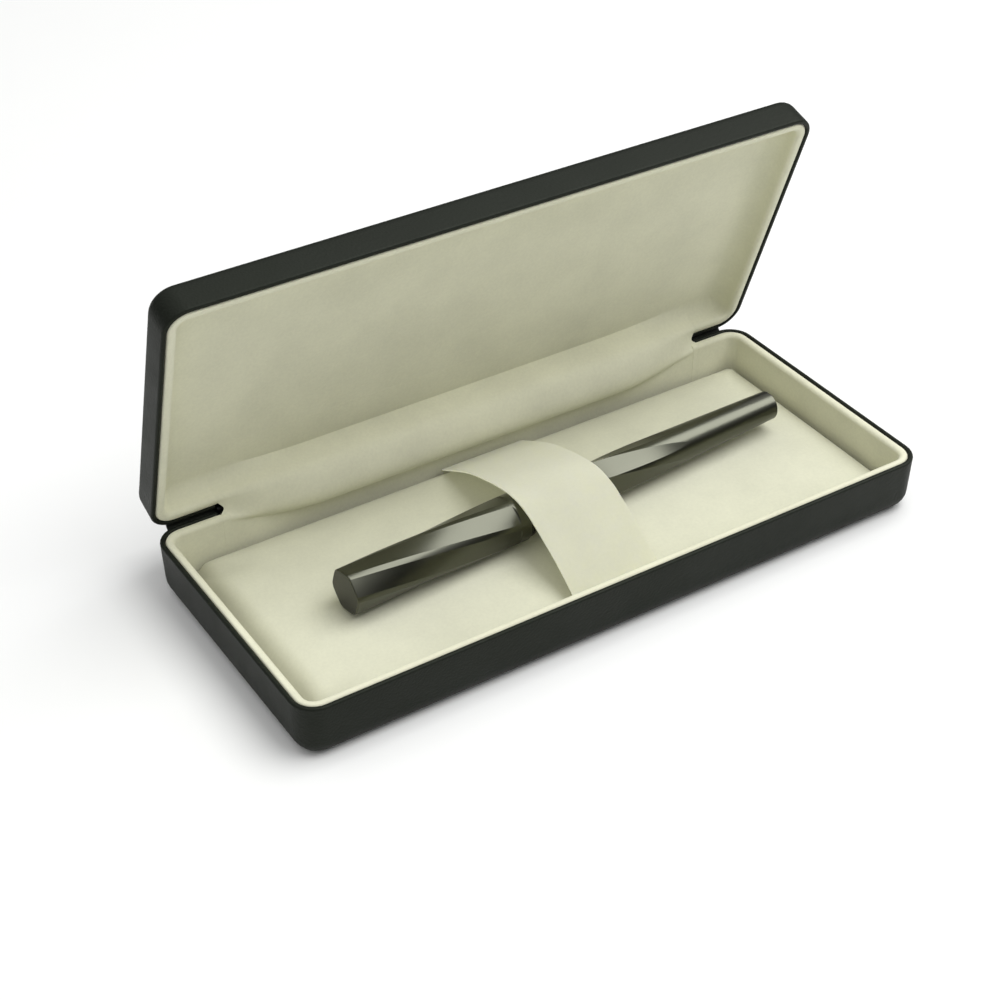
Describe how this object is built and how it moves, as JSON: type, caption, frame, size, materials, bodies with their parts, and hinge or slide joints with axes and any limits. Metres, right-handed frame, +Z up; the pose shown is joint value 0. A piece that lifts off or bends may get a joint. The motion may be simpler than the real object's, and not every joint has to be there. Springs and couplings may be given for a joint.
{
  "type": "pen box",
  "caption": "Slim hinged pen box in black leatherette, lined in cream cloth, with a padded insert and a ribbon that holds a faceted pen; the lid stands open.",
  "frame": {"origin": "middle of the base's flat underside", "axes": "+X along the case, +Y from the front to the hinge, +Z up"},
  "size_m": [0.178, 0.0848, 0.0902],
  "materials": {
    "leatherette": "matt, nearly smooth",
    "steel": "plain pressed steel",
    "card": "pressed card",
    "foam": "soft foam",
    "cloth": "fine cream lining cloth",
    "ribbon": "smooth cream ribbon",
    "pen_metal": "satin dark gunmetal",
    "pen_trim": "gloss black",
    "refill": "drawn tube",
    "sleeve": "moulded"
  },
  "bodies": {
    "base": {"base_shell": "steel", "base_cover": "leatherette", "base_liner": "card", "base_lining": "cloth", "pad_board": "card", "pad_foam": "foam", "pad_cloth": "cloth", "ribbon_strap": "ribbon", "base_hinge_leaf": "steel", "base_hinge_rivets": "steel", "hinge_pin": "steel", "hinge_spring": "steel", "hinge_cloth": "cloth", "hinge_spine": "leatherette"},
    "lid": {"lid_shell": "steel", "lid_cover": "leatherette", "lid_liner": "card", "lid_board": "card", "lid_lining": "cloth", "lid_hinge_leaf": "steel", "lid_hinge_rivets": "steel"},
    "pen": {"pen_barrel": "pen_metal", "pen_ring": "pen_trim", "grip_section": "pen_trim", "pen_refill": "refill"},
    "pen_cap": {"pen_cap": "pen_metal", "cap_sleeve": "sleeve"}
  },
  "joints": [
    {"name": "lid_hinge", "type": "hinge", "parent": "base", "child": "lid", "pos_m": [0, 0.03845, 0.01535], "axis": [-1, 0, 0], "range_deg": [-71.4, 8.6], "deforming": ["hinge_spring", "hinge_cloth", "hinge_spine"]},
    {"name": "pen_slide", "type": "slide", "parent": "base", "child": "pen", "axis": [0.9982, 0.06, 0], "range_m": [-0.004, 0.011]},
    {"name": "cap_pull", "type": "slide", "parent": "pen", "child": "pen_cap", "axis": [-0.9982, -0.06, 0], "range_m": [0, 0.02]}
  ]
}
